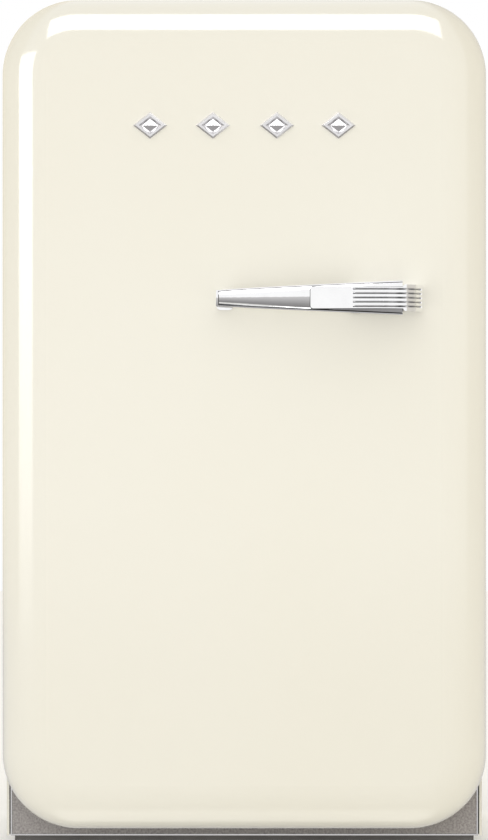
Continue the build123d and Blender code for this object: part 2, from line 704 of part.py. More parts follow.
def handle_base():
    """Cast pedestal between the door face and the wide end of the lever."""
    foot = block((86.0, 131.5), (DOOR_FACE - 4.0, DOOR_FACE), (HANDLE_Z - 12.0, HANDLE_Z + 12.0))
    foot = fillet_where(foot, 3.0, lambda b: b.max.Y - b.min.Y > 3.5)
    stem = block((92.0, 127.0), (DOOR_FACE - 34, DOOR_FACE - 3.0), (HANDLE_Z - 8.0, HANDLE_Z + 8.0))
    stem = fillet_where(stem, 3.0, lambda b: b.max.Y - b.min.Y > 10)
    return foot + stem


def handle_tip_post():
    """Short post on a shoe that holds the thin end of the lever off the door."""
    x = LEVER_X[0]
    post = block((x + 2.0, x + 12.5), (DOOR_FACE - 20.0, DOOR_FACE), (HANDLE_Z - 4.6, HANDLE_Z + 4.6))
    post = fillet_where(post, 3.0, lambda b: b.max.Y - b.min.Y > 10)
    shoe = block((x + 0.2, x + 14.0), (DOOR_FACE - 2.5, DOOR_FACE), (HANDLE_Z - 9.4, HANDLE_Z + 5.4))
    return post + fillet_where(shoe, 3.5, lambda b: b.max.Y - b.min.Y > 2)


def handle_feet():
    """Pedestal and tip post, both cut to the back of the lever and tapped for their screws."""
    lever = lever_border()
    feet = []
    for foot, x in ((handle_base(), BASE_SCREW_X[0]), (handle_tip_post(), TIP_POST_X)):
        trimmed = foot - lever - grip_pocket(0) - grip_body(GRIP_END_H, LEVER_X[1] + 0.3)
        feet.append(max(trimmed.solids(), key=lambda s: s.bounding_box().max.Y) - screw_bore(x))
    return group(feet)


def handle_screws():
    """Pan-head screws driven from inside the door skin into the handle's feet."""
    screws = []
    for x in (TIP_POST_X, *BASE_SCREW_X):
        shank = rod((x, DOOR_FACE - SCREW_L, HANDLE_Z), (x, DOOR_FACE + PAN, HANDLE_Z), 2.0)
        head = rod((x, DOOR_FACE + PAN, HANDLE_Z), (x, DOOR_FACE + PAN + HEAD_T, HANDLE_Z), HEAD_R)
        screws.append(shank + head)
    return group(screws)


# ---------------------------------------------------------------- badge
BADGE_Z = 608.0
BADGE_X = (-78.0, -26.0, 27.0, 78.0)
BADGE_HALF = (14.0, 11.0)
BADGE_H = 2.6


def lozenge(x, scale, height):
    """Rhombus parallel to the door face, standing off it by height."""
    w, h = BADGE_HALF[0] * scale, BADGE_HALF[1] * scale
    base = Plane(origin=(x, DOOR_FACE - height, BADGE_Z), x_dir=(1, 0, 0), z_dir=(0, -1, 0))
    return base * make_face(Polyline((-w, 0), (0, -h), (w, 0), (0, h), close=True))


def badge():
    """Four plain lozenge studs, each with a bevelled border round a sunk pyramid."""
    studs = []
    for x in BADGE_X:
        stud = extrude(lozenge(x, 1.0, 0), 1.2) + loft([lozenge(x, 1.0, 1.2), lozenge(x, 0.86, BADGE_H)])
        stud -= loft([lozenge(x, 0.50, 1.0), lozenge(x, 0.68, BADGE_H + 0.01)])
        studs.append(stud + loft([lozenge(x, 0.50, 0.9), lozenge(x, 0.04, 2.4)]))
    return group(studs)


# ---------------------------------------------------------------- inside fittings
def shelf_glass(z):
    """Tempered glass pane with rounded corners."""
    half = CAVITY_X - 1.5
    pane = block((-half, half), GLASS_Y, (z, z + GLASS_T))
    corner = lambda b: b.max.Z - b.min.Z > GLASS_T - 0.1
    return fillet_where(pane, 5.0, corner)


def shelf_trims(z):
    """Front nosing and rear stop clipped on the pane."""
    nose = block((-148.0, 148.0), (GLASS_Y[0] - 3, GLASS_Y[0] + 9), (z - 3, z + GLASS_T + 3))
    nose = fillet_where(nose, 3.0, lambda b: b.max.Y < GLASS_Y[0] - 2.9 and b.max.X - b.min.X > 200)
    stop = block((-142.0, 142.0), (GLASS_Y[1] - 6, GLASS_Y[1] + 3), (z - 2, z + GLASS_T + 2))
    stop += block((-142.0, 142.0), (GLASS_Y[1] + 0.5, GLASS_Y[1] + 3), (z, z + 17))
    return group([nose - shelf_glass(z), stop - shelf_glass(z)])


def bin_body(base, height):
    """Door bin: open tray with a higher guard towards the room and pads that hang on the lugs."""
    x = (-BIN_X, BIN_X)
    outer = block(x, BIN_Y, (base, base + height))
    outer = fillet_where(outer, 10.0,
                         lambda b: b.max.Z - b.min.Z > height - 1 and b.min.Y > BIN_Y[1] - 1)
    outer = fillet_where(outer, 3.0, lambda b: b.max.Z < base + 0.1)
    inner = block((x[0] + BIN_T, x[1] - BIN_T), (BIN_Y[0] + BIN_T, BIN_Y[1] - BIN_T),
                  (base + BIN_T, base + height + 1))
    inner = fillet_where(inner, 7.5,
                         lambda b: b.max.Z - b.min.Z > height - 4 and b.min.Y > BIN_Y[1] - 4)
    tray = outer - inner
    low = min(height * 0.45, 40.0)
    tray -= block((x[0] - 1, x[1] + 1), (BIN_Y[0] - 1, BIN_Y[1] - 26), (base + low, base + height + 1))
    pad = block((BIN_X - 8.5, BIN_X), (LUG_Y - 9, LUG_Y + 9), (base + 1, base + low - 1))
    half = LUG[1] / 2 + 0.4
    slot = block((RECESS_X - LUG[0] - 0.4, BIN_X + 1), (LUG_Y - half, LUG_Y + half),
                 (base - 1, base + 6 + LUG[2]))
    for sign in (1, -1):
        here_pad = pad if sign > 0 else mirror(pad, Plane.YZ)
        here_slot = slot if sign > 0 else mirror(slot, Plane.YZ)
        tray = tray + here_pad - here_slot
    return tray


def bin_rail(base, height):
    """Bright cap strip on top of the guard."""
    z = (base + height - 9, base + height + 2)
    strip = block((-110.0, 110.0), (BIN_Y[1] - BIN_T - 1.8, BIN_Y[1] + 1.8), z)
    strip = fillet_where(strip, 1.5, lambda b: b.min.Z > z[1] - 0.1)
    return strip - block((-111.0, 111.0), (BIN_Y[1] - BIN_T, BIN_Y[1]), (z[0] - 1, base + height))


LENS_X = (-62.0, 12.0)
LENS_Y = (-94.0, -44.0)


def control_console():
    """Hollow ceiling console for the thermostat and the lamp."""
    x, z = (-80.0, 80.0), (KNOB_Z - 14, CAVITY_Z[1])
    body = block(x, CONSOLE_Y, z)
    body = fillet_where(body, 5.0, lambda b: b.max.Z < z[0] + 0.1 or (b.max.Z - b.min.Z > 20))
    body -= block((x[0] + 2, x[1] - 2), (CONSOLE_Y[0] + 2, CONSOLE_Y[1] - 2), (z[0] + 2, z[1] + 1))
    body -= block(LENS_X, LENS_Y, (z[0] - 1, z[0] + 3))
    return body - rod((KNOB_X, CONSOLE_Y[0] - 1, KNOB_Z), (KNOB_X, CONSOLE_Y[0] + 3, KNOB_Z), 3.3)


def lamp_lens():
    """Opal cover of the lamp, with fine ribs inside."""
    z0 = KNOB_Z - 14
    lens = block((LENS_X[0] + 0.2, LENS_X[1] - 0.2), (LENS_Y[0] + 0.2, LENS_Y[1] - 0.2),
                 (z0 - 1.5, z0 + 1.5))
    lens = fillet_where(lens, 1.2, lambda b: b.max.Z < z0 - 1.4)
    ribs = 11
    pitch = (LENS_X[1] - LENS_X[0]) / (ribs + 1)
    for i in range(ribs):
        x = LENS_X[0] + pitch * (i + 1)
        lens -= block((x - 0.8, x + 0.8), (LENS_Y[0] + 4, LENS_Y[1] - 4), (z0 + 0.7, z0 + 2))
    return lens


def lamp_board():
    """LED strip board above the lens with six chips."""
    z0 = KNOB_Z - 4
    board = block((LENS_X[0] + 4, LENS_X[1] - 4), (-80.0, -58.0), (z0, z0 + 1.6))
    for i in range(6):
        x = LENS_X[0] + 10 + i * 10.8
        board += block((x - 1.7, x + 1.7), (-71.0, -67.6), (z0 - 0.9, z0 + 0.5))
    return board


def thermostat_body():
    """Rotary thermostat behind the console face."""
    front = CONSOLE_Y[0] + 2
    body = block((KNOB_X - 16, KNOB_X + 16), (front, front + 24), (KNOB_Z - 11.5, KNOB_Z + 12))
    return body - rod((KNOB_X, front - 1, KNOB_Z), (KNOB_X, front + 14, KNOB_Z), 3.3)


KNOB_R = 12.0


def thermostat_knob():
    """Scalloped knob with a pointer ridge, on its shaft."""
    front = CONSOLE_Y[0] - 0.6
    cap = rod((KNOB_X, front, KNOB_Z), (KNOB_X, front - 3, KNOB_Z), KNOB_R + 1.0)
    grip = rod((KNOB_X, front - 3, KNOB_Z), (KNOB_X, front - 13, KNOB_Z), KNOB_R - 1.0)
    grip = fillet_where(grip, 1.5, lambda b: b.max.Y < front - 12.9)
    scallops = 12
    for i in range(scallops):
        a = 2 * math.pi * i / scallops
        cx, cz = KNOB_X + (KNOB_R + 0.6) * math.cos(a), KNOB_Z + (KNOB_R + 0.6) * math.sin(a)
        grip -= rod((cx, front - 3.5, cz), (cx, front - 14, cz), 2.3)
    pointer = block((KNOB_X - 0.8, KNOB_X + 0.8), (front - 14, front - 3),
                    (KNOB_Z + 2, KNOB_Z + KNOB_R - 1.5))
    shaft = rod((KNOB_X, front, KNOB_Z), (KNOB_X, CONSOLE_Y[0] + 12, KNOB_Z), 3.2)
    return cap + grip + pointer + shaft


# ---------------------------------------------------------------- cooling unit
DRAIN_Z = 456.0
DRAIN_R = 6.0
PLATE_Z = (476.0, 612.0)
PLATE_X = 104.0
EVAPORATOR_X = (-70.0, 70.0)
EVAPORATOR_Z = (500.0, 590.0)
FIN_COUNT = 14


def cooling_plate():
    """Finned aluminium cold plate on the rear wall of the cavity."""
    solid = block((-PLATE_X, PLATE_X), (CAVITY_REAR - 4, CAVITY_REAR), PLATE_Z)
    pitch = 2 * (PLATE_X - 4) / (FIN_COUNT - 1)
    for i in range(FIN_COUNT):
        x = -PLATE_X + 4 + i * pitch
        solid += block((x - 1, x + 1), (CAVITY_REAR - 20, CAVITY_REAR - 3),
                       (PLATE_Z[0] + 3, PLATE_Z[1] - 3))
    return solid


def drip_channel():
    """Gutter under the cold plate, with a spout into the drain."""
    z = (DRAIN_Z - 7, DRAIN_Z + 14)
    outer = block((-116.0, 116.0), (CAVITY_REAR - 26, CAVITY_REAR), z)
    outer = fillet_where(outer, 4.0, lambda b: b.max.Z < z[0] + 0.1 and b.max.Y < CAVITY_REAR - 25.9)
    outer -= block((-114.0, 114.0), (CAVITY_REAR - 24, CAVITY_REAR - 2), (z[0] + 2, z[1] + 1))
    return outer - rod((0, CAVITY_REAR - 5, DRAIN_Z), (0, CAVITY_REAR + 1, DRAIN_Z), DRAIN_R - 1.2)


def drain_tube():
    """Drain from the gutter through the rear wall, turned down over the tray."""
    points = [(0, CAVITY_REAR, DRAIN_Z), (0, BOX_REAR + 20, DRAIN_Z), (0, BOX_REAR + 20, 372)]
    return tube_along(points, DRAIN_R, 14) - tube_along(points, DRAIN_R - 1.2, 14)


TRAY_Z = 350.0


def condensate_tray():
    """Shallow tray on the rear panel that lets the drained water evaporate."""
    y0 = BOX_REAR + SHEET
    outer = block((-44.0, 44.0), (y0, y0 + 30), (TRAY_Z - 12, TRAY_Z + 18))
    outer = fillet_where(outer, 5.0, lambda b: b.max.Z < TRAY_Z - 11.9)
    return outer - block((-42.0, 42.0), (y0 + 2, y0 + 28), (TRAY_Z - 10, TRAY_Z + 19))


UNIT_Y = BOX_REAR + 40.0      # centre plane of the pipework
PIPE_R = 7.0
BOILER_X = -128.0


NECK_X = 56.0


def evaporator_pipe():
    """Cold end of the pipework, bent against the back of the cold plate in a foam pocket."""
    y = CAVITY_REAR + ABS + PIPE_R + 1
    out = UNIT_Y
    points = [(NECK_X - 26, out, 512), (NECK_X, out, 512), (NECK_X, y, 512), (-50, y, 530),
              (-50, y, 556), (NECK_X, y, 574), (NECK_X, out, 574), (NECK_X + 26, out, 574)]
    return tube_along(points, PIPE_R, 9)


def evaporator_plug():
    """Foam plug that closes the neck round the evaporator pipe."""
    plug = block((EVAPORATOR_X[0] + 0.2, EVAPORATOR_X[1] - 0.2), (CAVITY_REAR + ABS + 18, BOX_REAR + SHEET),
                 (EVAPORATOR_Z[0] + 0.2, EVAPORATOR_Z[1] - 0.2))
    for z in (512, 574):
        plug -= rod((NECK_X, CAVITY_REAR, z), (NECK_X, UNIT_Y, z), PIPE_R + 0.2)
    return plug


def boiler_casing():
    """Sheet-steel jacket round the boiler stack, with a domed top cap and three beads."""
    body = rod((BOILER_X, UNIT_Y, 88), (BOILER_X, UNIT_Y, 366), 29)
    body = fillet_where(body, 4, lambda b: b.max.Z - b.min.Z < 0.1)
    for z in (110, 225, 344):
        body += Pos(BOILER_X, UNIT_Y, z) * Cylinder(30.2, 8)
    body -= rod((BOILER_X, UNIT_Y, 90), (BOILER_X, UNIT_Y, 364), 27)
    return body - rod((BOILER_X, UNIT_Y, 80), (BOILER_X, UNIT_Y, 370), PIPE_R)


def rectifier_pipe():
    """Riser from the boiler to the condenser with three cooling discs."""
    points = [(BOILER_X, UNIT_Y, 360), (BOILER_X, UNIT_Y, 640), (CONDENSER_X[0] - 2, UNIT_Y, 648)]
    pipe = tube_along(points, PIPE_R, 24)
    for z in (430, 460, 490):
        pipe += Pos(BOILER_X, UNIT_Y, z) * Cylinder(18, 2)
    return pipe


CONDENSER_X = (-92.0, 132.0)


def condenser_pipe():
    """Top pipe, sloping back and down to the evaporator."""
    low = [(CONDENSER_X[0] - 2, UNIT_Y, 648), (CONDENSER_X[1] + 20, UNIT_Y, 640),
           (CONDENSER_X[1] + 20, UNIT_Y, 574), (NECK_X + 26, UNIT_Y, 574)]
    return tube_along(low, PIPE_R, 20) - rectifier_pipe()


def condenser_axis(x):
    """Point on the sloping part of the condenser pipe."""
    fall = (x - CONDENSER_X[0] + 2) / (CONDENSER_X[1] - CONDENSER_X[0] + 22)
    return (x, UNIT_Y, 648 - 8 * fall)


def condenser_fins():
    """Square fins on a common sleeve round the condenser pipe."""
    count = 21
    first, last = CONDENSER_X[0], CONDENSER_X[1] - 12
    pack = rod(condenser_axis(first - 1), condenser_axis(last + 1), PIPE_R + 1.4)
    for i in range(count):
        x, y, z = condenser_axis(first + i * (last - first) / (count - 1))
        pack += block((x - 0.5, x + 0.5), (y - 32, y + 34), (z - 30, z + 30))
    return pack - rod(condenser_axis(first - 5), condenser_axis(last + 5), PIPE_R + 0.15)


VESSEL_Z = 112.0
VESSEL_X = (-70.0, 150.0)


def absorber_vessel():
    """Hollow horizontal receiver with domed ends and a charging stub."""
    drum = rod((VESSEL_X[0], UNIT_Y, VESSEL_Z), (VESSEL_X[1], UNIT_Y, VESSEL_Z), 28)
    drum = fillet_where(drum, 12, lambda b: b.max.X - b.min.X < 0.1)
    hollow = rod((VESSEL_X[0] + 3, UNIT_Y, VESSEL_Z), (VESSEL_X[1] - 3, UNIT_Y, VESSEL_Z), 25)
    drum -= fillet_where(hollow, 9, lambda b: b.max.X - b.min.X < 0.1)
    drum += rod((60, UNIT_Y, VESSEL_Z - 26), (60, UNIT_Y, VESSEL_Z - 38), 5)
    return drum - absorber_coil() - boiler_feed()


def absorber_coil():
    """Serpentine pipe that climbs from the receiver to the evaporator outlet."""
    x0, x1 = -50.0, 140.0
    points = [(x1, UNIT_Y, VESSEL_Z + 10)]
    level, left = 178.0, False
    for _ in range(5):
        a, b = (x0, x1) if left else (x1, x0)
        points += [(a, UNIT_Y, level), (b, UNIT_Y, level + 14)]
        level += 44 if level < 260 else 46
        left = not left
    points = [p for i, p in enumerate(points) if i == 0 or p != points[i - 1]]
    points += [(x0, UNIT_Y, 512), (NECK_X - 26, UNIT_Y, 512)]
    return tube_along(points, PIPE_R, 13)


def boiler_feed():
    """Pipe that returns rich liquid from the receiver to the boiler."""
    points = [(BOILER_X, UNIT_Y, 92), (BOILER_X, UNIT_Y, 70), (-40, UNIT_Y, 70),
              (-40, UNIT_Y, VESSEL_Z - 20)]
    return tube_along(points, PIPE_R, 10)


def unit_brackets():
    """Two straps that hold the cooling unit to the rear panel."""
    y = (BOX_REAR + SHEET, UNIT_Y)
    straps = []
    for x, z in ((100.0, VESSEL_Z - 41), (-20.0, VESSEL_Z - 41)):
        straps.append(block((x - 12, x + 12), y, (z - 3, z)))
        straps[-1] += block((x - 12, x + 12), (UNIT_Y - 3, UNIT_Y), (z - 3, VESSEL_Z - 27.5))
        straps[-1] += block((x - 12, x + 12), (y[0], y[0] + 3), (z - 3, z + 22))
        straps[-1] -= rod((x - 20, UNIT_Y, VESSEL_Z), (x + 20, UNIT_Y, VESSEL_Z), 28)
        straps[-1] -= boiler_feed()
    return group(straps)


BOX_X = (-190.0, -100.0)
INLET_X = -150.0
INLET_Z = 44.0
INLET_W, INLET_H = 24.4, 16.4


def electrics_box():
    """Heater control box on the base, with a face for the mains inlet."""
    y = (CAB_REAR - 62, CAB_REAR - 10)
    body = block(BOX_X, y, (PAN_Z + 1.5, 62))
    body = fillet_where(body, 3, lambda b: b.max.Z - b.min.Z > 40)
    for i in range(6):
        z = 22 + 5 * i
        body -= block((BOX_X[1] - 1.5, BOX_X[1] + 1), (y[0] + 8, y[0] + 34), (z, z + 2))
    body -= block((INLET_X - 14.5, INLET_X + 14.5), (y[1] - 24, y[1] + 1),
                  (INLET_Z - 10.5, INLET_Z + 10.5))
    return body - rod((-FOOT_X, FOOT_Y[1], PAN_Z), (-FOOT_X, FOOT_Y[1], PAN_Z + 5), 10)


def mains_inlet():
    """Three-pin appliance inlet with a flange and a shrouded socket."""
    y1 = CAB_REAR - 10
    flange = block((INLET_X - 24, INLET_X + 24), (y1, y1 + 3), (INLET_Z - 13, INLET_Z + 13))
    flange = fillet_where(flange, 6, lambda b: b.max.Y - b.min.Y > 2.5)
    solid = flange + block((INLET_X - 14.4, INLET_X + 14.4), (y1 - 23.5, y1),
                           (INLET_Z - 10.4, INLET_Z + 10.4))
    socket = block((INLET_X - INLET_W / 2, INLET_X + INLET_W / 2), (y1 - 18.5, y1 + 4),
                   (INLET_Z - INLET_H / 2, INLET_Z + INLET_H / 2))
    socket = chamfer(
        [e for e in socket.edges()
         if e.bounding_box().max.Y - e.bounding_box().min.Y > 10 and e.center().Z > INLET_Z], 5)
    solid -= socket
    for x, z in inlet_pin_places():
        solid -= block((x - 2, x + 2), (y1 - 22.5, y1 - 18), (z - 1, z + 1))
    for dx in (-19, 19):
        solid -= rod((INLET_X + dx, y1 - 1, INLET_Z), (INLET_X + dx, y1 + 4, INLET_Z), 1.7)
    return solid


def inlet_pin_places():
    """X and Z of the three pins."""
    return ((INLET_X - 7, INLET_Z - 2), (INLET_X, INLET_Z + 2), (INLET_X + 7, INLET_Z - 2))


def inlet_pins():
    """Live, earth and neutral blades."""
    y1 = CAB_REAR - 10
    return group([block((x - 2, x + 2), (y1 - 22.5, y1 - 4), (z - 1, z + 1))
                  for x, z in inlet_pin_places()])


def wall_spacers():
    """Moulded bumpers on the rear edges that keep the unit off the wall."""
    spacer = block((CAB_X - 34, CAB_X - 2), (CAB_REAR, CAB_REAR + REAR_REACH), (560.0, 588.0))
    spacer = fillet_where(spacer, 6, lambda b: b.min.Y > CAB_REAR + REAR_REACH - 0.1)
    clip = block((CAB_X - 30, CAB_X - 9.3), (CAB_REAR - 26, CAB_REAR), (566.0, 582.0))
    bar = block((CAB_X - 30, CAB_X - SHEET), (CAB_REAR - 26, CAB_REAR - 3), (566.0, 582.0))
    return both_sides(spacer + clip + bar)


# ---------------------------------------------------------------- write the parts
def write_parts():
    """Builds every sub-part and writes one STEP file for each."""
    nodes = {
        "cabinet_shell": cabinet_shell(),
        "cabinet_liner": cabinet_liner(),
        "cabinet_insulation": cabinet_insulation(),
        "bottom_rail": bottom_rail(),
        "floor_panel": floor_panel(),
        "rear_panel": rear_panel(),
        "base_pan": base_pan(),
        "foot_inserts": foot_inserts(),
        "rear_feet": rear_feet(),
        "kick_plate": kick_plate(),
        "kick_plate_trim": kick_plate_trim(),
        "hinge_brackets": group([hinge_bracket(z) for z in HINGE_Z]),
        "hinge_screws": hinge_screws(),
        "hinge_backing_plates": hinge_backing_plates(),
        "hinge_pins": hinge_pins(),
        "control_console": control_console(),
        "lamp_lens": lamp_lens(),
        "lamp_board": lamp_board(),
        "thermostat_body": thermostat_body(),
        "cooling_plate": cooling_plate(),
        "drip_channel": drip_channel(),
        "drain_tube": drain_tube(),
        "condensate_tray": condensate_tray(),
        "evaporator_pipe": evaporator_pipe(),
        "evaporator_plug": evaporator_plug(),
        "boiler_casing": boiler_casing(),
        "rectifier_pipe": rectifier_pipe(),
        "condenser_pipe": condenser_pipe(),
        "condenser_fins": condenser_fins(),
        "absorber_vessel": absorber_vessel(),
        "absorber_coil": absorber_coil(),
        "boiler_feed": boiler_feed(),
        "unit_brackets": unit_brackets(),
        "electrics_box": electrics_box(),
        "mains_inlet": mains_inlet(),
        "inlet_pins": inlet_pins(),
        "wall_spacers": wall_spacers(),
        "door_shell": door_shell(),
        "door_liner": door_liner(),
        "door_insulation": door_insulation(),
        "door_gasket": door_gasket(),
        "gasket_magnets": gasket_magnets(),
        "hinge_blocks": hinge_blocks(),
        "hinge_bushes": hinge_bushes(),
        "handle_lever": handle_lever(),
        "handle_grip": handle_grip(),
        "handle_inlay": handle_inlay(),
        "handle_feet": handle_feet(),
        "handle_screws": handle_screws(),
        "badge": badge(),
        "thermostat_knob": thermostat_knob(),
        "front_foot_left": front_foot(-FOOT_X),
        "front_foot_right": front_foot(FOOT_X),
    }
    for name, z in SHELF_Z.items():
        nodes[f"{name}_shelf_glass"] = shelf_glass(z)
        nodes[f"{name}_shelf_trims"] = shelf_trims(z)
    nodes["bottle_bin"] = bin_body(*BINS["bottle"])
    nodes["upper_bin"] = bin_body(*BINS["upper"])
    nodes["bin_rail_bottle"] = bin_rail(*BINS["bottle"])
    os.makedirs("parts", exist_ok=True)
    for name, shape in nodes.items():
        export_step(shape, f"parts/{name}.step")
    print(len(nodes), "parts written")


write_parts()
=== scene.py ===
import json
import math
from functools import partial

import bpy
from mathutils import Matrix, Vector


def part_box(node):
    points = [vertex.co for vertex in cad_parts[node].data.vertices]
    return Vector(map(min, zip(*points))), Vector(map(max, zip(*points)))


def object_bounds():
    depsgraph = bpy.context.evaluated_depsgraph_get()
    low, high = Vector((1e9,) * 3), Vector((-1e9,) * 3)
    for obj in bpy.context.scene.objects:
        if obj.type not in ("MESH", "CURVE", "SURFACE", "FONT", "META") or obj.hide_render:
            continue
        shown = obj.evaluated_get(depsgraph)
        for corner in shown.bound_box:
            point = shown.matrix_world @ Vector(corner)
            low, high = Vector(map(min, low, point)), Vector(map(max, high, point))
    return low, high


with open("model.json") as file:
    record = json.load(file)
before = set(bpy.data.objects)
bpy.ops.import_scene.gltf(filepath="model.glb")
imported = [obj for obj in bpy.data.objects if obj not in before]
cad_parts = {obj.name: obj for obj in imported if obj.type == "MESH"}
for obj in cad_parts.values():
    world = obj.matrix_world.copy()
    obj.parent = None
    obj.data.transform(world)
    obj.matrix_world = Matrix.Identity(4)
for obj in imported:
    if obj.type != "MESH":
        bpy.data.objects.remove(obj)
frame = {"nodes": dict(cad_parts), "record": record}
CAD_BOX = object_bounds()
NODES = frame["nodes"]

# The colour sockets of a Mix node share their names with its number sockets, so they go by index.
MIX_FACTOR, MIX_FIRST, MIX_SECOND, MIX_RESULT = 0, 6, 7, 2


# ---------------------------------------------------------------- node helpers
def set_on(node, **values):
    """Sets input values; an underscore in a name stands for a space."""
    for key, value in values.items():
        node.inputs[key.replace("_", " ")].default_value = value


def feed(tree, node, **outputs):
    """Links outputs to the inputs of those names."""
    for key, output in outputs.items():
        tree.links.new(output, node.inputs[key.replace("_", " ")])


def add(tree, kind, settings=None, **values):
    """New node with its properties and input values set."""
    made = tree.nodes.new(kind)
    for key, value in (settings or {}).items():
        setattr(made, key, value)
    set_on(made, **values)
    return made


def start(name):
    """Empty Principled material with its object coordinates."""
    made = bpy.data.materials.new("finish_" + name)
    made.use_nodes = True
    tree = made.node_tree
    coords = add(tree, "ShaderNodeTexCoord").outputs["Object"]
    return made, tree, tree.nodes["Principled BSDF"], coords


def stretched(tree, coords, scale):
    """Coordinates scaled by a different amount along each axis."""
    made = add(tree, "ShaderNodeMapping", Scale=scale)
    feed(tree, made, Vector=coords)
    return made.outputs["Vector"]


def noise(tree, coords, scale, detail=3.0):
    made = add(tree, "ShaderNodeTexNoise", Scale=scale, Detail=detail, Roughness=0.55)
    feed(tree, made, Vector=coords)
    return made.outputs["Fac"]


def cells(tree, coords, scale):
    made = add(tree, "ShaderNodeTexVoronoi", Scale=scale)
    feed(tree, made, Vector=coords)
    return made


def first_channel(tree, colour):
    made = add(tree, "ShaderNodeSeparateColor")
    feed(tree, made, Color=colour)
    return made.outputs[0]


def components(tree, vector):
    """The x, y and z of a vector."""
    made = add(tree, "ShaderNodeSeparateXYZ")
    feed(tree, made, Vector=vector)
    return made.outputs


def remap(tree, value, old, new=(0.0, 1.0)):
    """Value taken from the old range to the new one and kept inside it."""
    made = add(tree, "ShaderNodeMapRange", {"clamp": True},
               From_Min=old[0], From_Max=old[1], To_Min=new[0], To_Max=new[1])
    feed(tree, made, Value=value)
    return made.outputs["Result"]


def blended(tree, factor, first, second):
    """Colour that goes from first to second with factor; each is a colour or a socket."""
    made = add(tree, "ShaderNodeMix", {"data_type": "RGBA"})
    for socket, colour in ((MIX_FIRST, first), (MIX_SECOND, second)):
        if isinstance(colour, tuple):
            made.inputs[socket].default_value = (*colour, 1.0)
        else:
            tree.links.new(colour, made.inputs[socket])
    tree.links.new(factor, made.inputs[MIX_FACTOR])
    return made.outputs[MIX_RESULT]


def bumped(tree, shader, height, strength, distance):
    """Relief on a shader; distance is in metres."""
    made = add(tree, "ShaderNodeBump", Strength=strength, Distance=distance)
    feed(tree, made, Height=height)
    feed(tree, shader, Normal=made.outputs["Normal"])


def dimmed(colour, amount):
    return tuple(amount * channel for channel in colour)


# ---------------------------------------------------------------- finishes
# Scales of noise and cells are per metre of the object, as no node has been scaled.
def enamel(slot, base, deep):
    """Glossy stoved enamel: faint orange peel, slow drift of tone, faint handling marks."""
    made, tree, shader, coords = start(slot)
    drift = remap(tree, noise(tree, coords, 3.2, detail=2.0), (0.35, 0.7))
    speck = remap(tree, noise(tree, coords, 900.0, detail=1.0), (0.70, 0.78), (0.0, 0.35))
    colour = blended(tree, speck, blended(tree, drift, base, deep), dimmed(base, 0.93))
    marks = remap(tree, noise(tree, coords, 14.0, detail=4.0), (0.3, 0.75), (0.11, 0.17))
    feed(tree, shader, Base_Color=colour, Roughness=marks)
    bumped(tree, shader, noise(tree, coords, 330.0, detail=2.0), 0.10, 0.0004)
    set_on(shader, Coat_Weight=1.0, Coat_Roughness=0.05, Coat_IOR=1.55, IOR=1.55)
    return made


def moulded(slot, base, deep, rough, grain, relief, drift=18.0):
    """Moulded or vacuum-formed plastic with fine grain and slow variation of tone."""
    made, tree, shader, coords = start(slot)
    tone = remap(tree, noise(tree, coords, drift), (0.3, 0.7))
    sheen = remap(tree, noise(tree, coords, 4 * drift, detail=4.0), (0.3, 0.7), rough)
    feed(tree, shader, Base_Color=blended(tree, tone, base, deep), Roughness=sheen)
    bumped(tree, shader, noise(tree, coords, grain, detail=2.0), relief, 0.0004)
    return made


def grained_panel(slot, base, deep):
    """Grey plinth plastic with a fine leather-like grain."""
    made, tree, shader, coords = start(slot)
    grains = cells(tree, coords, 700.0).outputs["Distance"]
    shade = remap(tree, noise(tree, coords, 560.0), (0.35, 0.65))
    sheen = remap(tree, grains, (0.0, 0.6), (0.42, 0.62))
    feed(tree, shader, Base_Color=blended(tree, shade, base, deep), Roughness=sheen)
    bumped(tree, shader, grains, 0.35, 0.0003)
    return made


def polished(slot, base, rough):
    """Chrome with hairline polishing marks and faint hand smears."""
    made, tree, shader, coords = start(slot)
    lines = noise(tree, stretched(tree, coords, (12.0, 500.0, 900.0)), 1.0)
    smear = noise(tree, coords, 45.0, detail=4.0)
    tint = blended(tree, remap(tree, smear, (0.35, 0.7)), base, dimmed(base, 0.95))
    feed(tree, shader, Base_Color=tint, Roughness=remap(tree, smear, (0.3, 0.75), rough))
    bumped(tree, shader, lines, 0.05, 0.0002)
    set_on(shader, Metallic=1.0)
    return made


def bare_metal(slot, base, deep, rough=(0.28, 0.45), brush=(4.0, 4.0, 260.0), spangle=0.0):
    """Brushed or rolled metal, or galvanised metal where it has spangle."""
    made, tree, shader, coords = start(slot)
    brushed = noise(tree, stretched(tree, coords, brush), 1.0, detail=4.0)
    colour = blended(tree, remap(tree, brushed, (0.3, 0.7)), base, deep)
    if spangle:
        flakes = first_channel(tree, cells(tree, coords, 70.0).outputs["Color"])
        tone = remap(tree, flakes, (0.0, 1.0), (0.0, spangle))
        colour = blended(tree, tone, colour, dimmed(base, 0.62))
    feed(tree, shader, Base_Color=colour, Roughness=remap(tree, brushed, (0.25, 0.75), rough))
    bumped(tree, shader, brushed, 0.10, 0.0002)
    set_on(shader, Metallic=1.0)
    return made


def painted_tube(slot, base, deep, steel):
    """Dull black paint over steel pipe, with dust and small chips down to the steel."""
    made, tree, shader, coords = start(slot)
    dust = remap(tree, noise(tree, coords, 30.0, detail=5.0), (0.45, 0.8), (0.0, 0.6))
    chips = remap(tree, noise(tree, coords, 210.0, detail=4.0), (0.70, 0.74))
    colour = blended(tree, chips, blended(tree, dust, base, deep), steel)
    feed(tree, shader, Base_Color=colour, Roughness=remap(tree, dust, (0.0, 0.6), (0.38, 0.75)))
    bumped(tree, shader, noise(tree, coords, 420.0), 0.22, 0.0005)
    return made


